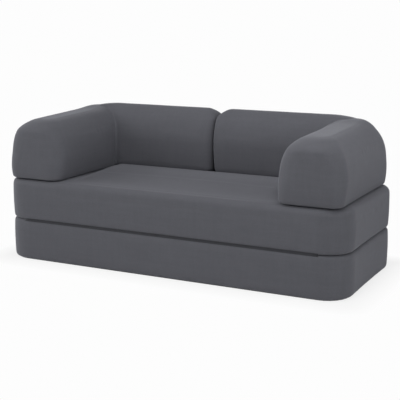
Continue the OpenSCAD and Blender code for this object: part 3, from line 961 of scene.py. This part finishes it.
def tape_rings(length, near, far):
    """Rings of one tape from end to end: a thin edge, a bead beside the coil."""
    profile = ((near, 0), (far, 0), (far, 0.6 * TAPE_T), (far - 0.3 * TAPE_T, 0.9 * TAPE_T),
               (near + 2 * TAPE_T, 0.9 * TAPE_T), (near + TAPE_T, TAPE_T), (near, TAPE_T))
    return [np.array([(x, y, z) for y, z in profile]) for x in (-length / 2, length / 2)]


def joined_meshes(name, parts):
    """One piece from (points, faces, material index) parts."""
    points, faces, marks = [], [], []
    for part_points, part_faces, mark in parts:
        start = sum(len(group) for group in points)
        points.append(part_points)
        faces.extend(tuple(start + i for i in face) for face in part_faces)
        marks.extend([mark] * len(part_faces))
    piece = made_piece(name, np.concatenate(points), faces)
    piece.data.polygons.foreach_set("material_index", marks)
    return piece


def bar_faces(count):
    """Faces of a closed bar between two rings of count points."""
    sides = [(i, (i + 1) % count, count + (i + 1) % count, count + i) for i in range(count)]
    return [tuple(range(count)), tuple(range(count, 2 * count)), *sides]


def make_zip(node, body, along, up, materials):
    """Closed zip: two tapes and a coil of interlocked teeth."""
    low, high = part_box(node)
    size = high - low
    length = abs(size.dot(along))
    across = up.cross(along)
    half = abs(size.dot(across)) / 2
    parts = []
    for sign in (-1, 1):
        rings = tape_rings(length, sign * TAPE_GAP, sign * half)
        parts.append((np.concatenate(rings), bar_faces(len(rings[0])), 0))
    count = int(length / TOOTH_PITCH)
    width = COIL_W - 2 * TOOTH_SHIFT
    for i in range(count):
        x = (i + 0.5 - count / 2) * TOOTH_PITCH
        shift = TOOTH_SHIFT * (1 if i % 2 else -1)
        rings = []
        for end, lean in ((-0.5, -shift / 2), (0.5, shift / 2)):
            rings += [(x + end * TOOTH_SHARE * TOOTH_PITCH, a * width + shift / 2 + lean,
                       TAPE_T + b * COIL_T) for a, b in COIL_SHAPE]
        parts.append((np.array(rings), bar_faces(len(COIL_SHAPE)), 1))
    piece = joined_meshes(node + "_chain", parts)
    base = (low + high) / 2 - up * abs(size.dot(up)) / 2
    turn = Matrix((along, across, up)).transposed().to_4x4()
    piece.data.transform(Matrix.Translation(base) @ turn)
    dress(piece, materials[0], body, "zip_tape", node)
    piece.data.materials.append(materials[1])


def make_zips(materials):
    for body in ("base", "seat"):
        make_zip(body + "_zip", body, Vector((1, 0, 0)), Vector((0, 1, 0)), materials)
    for side in SIDES:
        for kind, along in (("arm", Vector((0, 1, 0))), ("back", Vector((1, 0, 0)))):
            make_zip(f"{side}_{kind}_zip", side + "_bolster", along, Vector((0, 0, -1)), materials)


# Fastening strips, the hinge fabric and the underside panel

STRIP_W = 40 * MM
STRIP_CORNER = 5 * MM
STRIP_EDGE = 0.3 * MM
STRIP_BORDER = 3 * MM
TAPE_ARC_STEPS = 6
TAPE_RUN_STEPS = 4


def flat_tape(name, low, high, corner, edge, border, groove, up):
    """Flat tape with rounded edges and a stitched groove near its border on one face."""
    half_x, half_y = (high.x - low.x) / 2, (high.y - low.y) / 2
    thick = high.z - low.z
    steps = [(edge, 0), (0, edge), (0, thick - edge), (edge, thick), (border, thick),
             (border + edge, thick - groove), (border + 2 * edge, thick)]
    rings = []
    for inset, z in steps:
        ring = rounded_ring(half_x - inset, half_y - inset, half_y - inset,
                            corner - inset, corner - inset, TAPE_ARC_STEPS, TAPE_RUN_STEPS)
        level = low.z + z if up else high.z - z
        rings.append(np.column_stack([ring[:, 0] + (low.x + high.x) / 2,
                                      ring[:, 1] + (low.y + high.y) / 2,
                                      np.full(len(ring), level)]))
    return lofted(name, rings)


def make_strip_pair(node, body, material, up):
    """Two parallel strips at the outer edges of a node's box."""
    low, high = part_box(node)
    axis = 0 if high.y - low.y > high.x - low.x else 1
    first_high, second_low = high.copy(), low.copy()
    first_high[axis] = low[axis] + STRIP_W
    second_low[axis] = high[axis] - STRIP_W
    first, second = (flat_tape(f"{node}_{index}", *box, STRIP_CORNER, STRIP_EDGE, STRIP_BORDER,
                               STRIP_EDGE, up)
                     for index, box in enumerate(((low, first_high), (second_low, high))))
    shape = bmesh.new()
    shape.from_mesh(first.data)
    shape.from_mesh(second.data)
    shape.to_mesh(first.data)
    shape.free()
    remove(second)
    first.name = node + "_tape"
    dress(first, material, body, "hook_and_loop", node)


def make_strips(hook_material, loop_material):
    for side in SIDES:
        for kind in ("arm", "back"):
            make_strip_pair(f"{side}_{kind}_hook_strips", side + "_bolster", hook_material, False)
            make_strip_pair(f"{side}_{kind}_loop_strips", "seat", loop_material, True)


HINGE_R = 9.6 * MM
HINGE_T = 1.2 * MM
HINGE_TURN = 52
HINGE_ARC_STEPS = 12
HINGE_RUN_STEPS = 30


def make_hinge(material):
    """Strip of velvet that joins both slabs, bent about the fold line."""
    low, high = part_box("front_hinge_strip")
    length = high.x - low.x
    fold = Vector((0, high.y - HINGE_R - HINGE_T / 2, (low.z + high.z) / 2))
    turns = [math.radians(HINGE_TURN * (i / HINGE_ARC_STEPS - 1))
             for i in range(2 * HINGE_ARC_STEPS + 1)]
    profile = ([(HINGE_R + HINGE_T / 2, t) for t in turns]
               + [(HINGE_R - HINGE_T / 2, t) for t in turns[::-1]])
    rings = []
    for i in range(2 * HINGE_RUN_STEPS + 1):
        share = i / HINGE_RUN_STEPS - 1
        drawn = SLAB_DRAW * (1 - share ** 2)
        rings.append(np.array([(length / 2 * share, fold.y + drawn + r * math.cos(t),
                                fold.z + r * math.sin(t)) for r, t in profile]))
    piece = lofted("front_hinge_fabric", rings)
    piece.data.shade_smooth()
    dress(piece, material, None, "velvet_cover", "front_hinge_strip")
    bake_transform(piece)


PANEL_BORDER = 10 * MM
PANEL_GROOVE = 0.5 * MM


def make_panel(material):
    """Non-slip cloth sewn under the base."""
    low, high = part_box("base_underside_panel")
    corner = SLAB_CORNER_R - FLOOR_R
    piece = flat_tape("base_underside_cloth", low, high, corner, PANEL_GROOVE, PANEL_BORDER,
                      PANEL_GROOVE, False)
    dress(piece, material, "base", "underside_cloth", "base_underside_panel")


def finish_metal(material):
    """Gives the sliders and pull tabs of the model their metal."""
    names = [f"{side}_{kind}_zip_slider" for side in SIDES for kind in ("arm", "back")]
    names += [f"{body}_zip_{part}" for body in ("base", "seat") for part in ("slider", "pull")]
    for name in names:
        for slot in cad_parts[name].material_slots:
            slot.material = material


make_covers(velvet("charcoal_velvet"))
firm_foam = foam("firm_foam", FIRM_FOAM_TONES)
soft_foam = foam("comfort_foam", SOFT_FOAM_TONES)
for slab_name in ("base", "seat"):
    make_slab_foam(slab_name, firm_foam, soft_foam)
make_bolster_foam(firm_foam)
make_zips((woven_tape("zip_tape", TAPE_TONES), moulded("zip_teeth", TEETH_TONES)))
make_strips(hook_tape("hook_tape"), loop_tape("loop_tape"))
# The hinge strip's velvet is darkened as painted shade of the groove between the slabs
make_hinge(velvet("groove_painted_shade_velvet", GROOVE_PAINTED_SHADE))
make_panel(dotted_cloth("underside_cloth"))
finish_metal(dark_metal("dark_zinc"))


# Floor, backdrop and light

BACKDROP = 0.982
WORLD_LEVEL = 0.16
FLOOR_COLOUR = 0.9
SHADOW_SHARE = 0.2
SHADOW_REACH = 0.14
FLOOR_REACH = 40

# Each lamp's name, place, size and power; all face LAMP_TARGET
LAMPS = (
    ("high_front", (0, -4, 3.4), 3, 62),
    ("left", (-4.2, -1.5, 2.2), 3, 78),
    ("right", (4.4, -0.6, 1.8), 3, 42),
    ("middle", (0.9, -0.9, 2.6), 1.2, 19),
    ("behind", (-0.9, 4.8, 1.1), 3, 62),
)
LAMP_TARGET = (0, 0, 0.3)


def seen_directly(shader):
    """1 for the camera and for what gloss and glass show, 0 for other light."""
    path = shader.tree.nodes.new("ShaderNodeLightPath")
    camera, gloss, glass = (Value(shader, path.outputs[name]) for name in
                            ("Is Camera Ray", "Is Glossy Ray", "Is Transmission Ray"))
    return camera.math("MAXIMUM", gloss).math("MAXIMUM", glass)


def make_world():
    """Backdrop that is seen nearly white and lights the object only faintly."""
    world = bpy.data.worlds.new("studio")
    shader = Shader(world)
    lit = shader.node("ShaderNodeBackground", {},
                      {"Color": rgb(1, 1, 1), "Strength": WORLD_LEVEL})
    shown = shader.node("ShaderNodeBackground", {},
                        {"Color": rgb(BACKDROP, BACKDROP, BACKDROP), "Strength": 1.0})
    mixed = shader.node("ShaderNodeMixShader", {}, {0: seen_directly(shader), 1: lit, 2: shown})
    shader.surface(mixed, "ShaderNodeOutputWorld")
    bpy.context.scene.world = world


def make_lamp(name, place, size, power):
    data = bpy.data.lights.new(name, "AREA")
    data.shape = "DISK"
    data.size = size
    data.energy = power
    lamp = bpy.data.objects.new(name, data)
    lamp.location = place
    aim = Vector(LAMP_TARGET) - Vector(place)
    lamp.rotation_euler = aim.to_track_quat("-Z", "Y").to_euler()
    bpy.context.scene.collection.objects.link(lamp)


def make_floor():
    """White floor: plain to the eye, with the object's shadow close to it."""
    shader = material_shader("floor_white")
    matt = shader.node("ShaderNodeBsdfDiffuse", {},
                       {"Color": rgb(FLOOR_COLOUR, FLOOR_COLOUR, FLOOR_COLOUR)})
    plain = shader.node("ShaderNodeEmission", {}, {"Color": rgb(BACKDROP, BACKDROP, BACKDROP)})
    place = shader.place()
    beyond = [(shader.axis(place, name).math("ABSOLUTE") - reach).math("MAXIMUM", 0)
              for name, reach in (("X", cad_high.x), ("Y", cad_high.y))]
    distance = (beyond[0] * beyond[0] + beyond[1] * beyond[1]) ** 0.5
    shaded = (1 - distance / SHADOW_REACH).clamped() * SHADOW_SHARE
    shown = shader.node("ShaderNodeMixShader", {}, {0: shaded, 1: plain, 2: matt})
    seen = seen_directly(shader)
    shader.surface(shader.node("ShaderNodeMixShader", {}, {0: seen, 1: matt, 2: shown}))
    mesh = bpy.data.meshes.new("floor")
    corners = [(x * FLOOR_REACH, y * FLOOR_REACH, 0)
               for x, y in ((-1, -1), (1, -1), (1, 1), (-1, 1))]
    mesh.from_pydata(corners, [], [(0, 1, 2, 3)])
    mesh.materials.append(shader.owner)
    floor = bpy.data.objects.new("floor", mesh)
    bpy.context.scene.collection.objects.link(floor)


make_world()
make_floor()
for lamp in LAMPS:
    make_lamp(*lamp)

bpy.context.scene.view_settings.view_transform = "Standard"
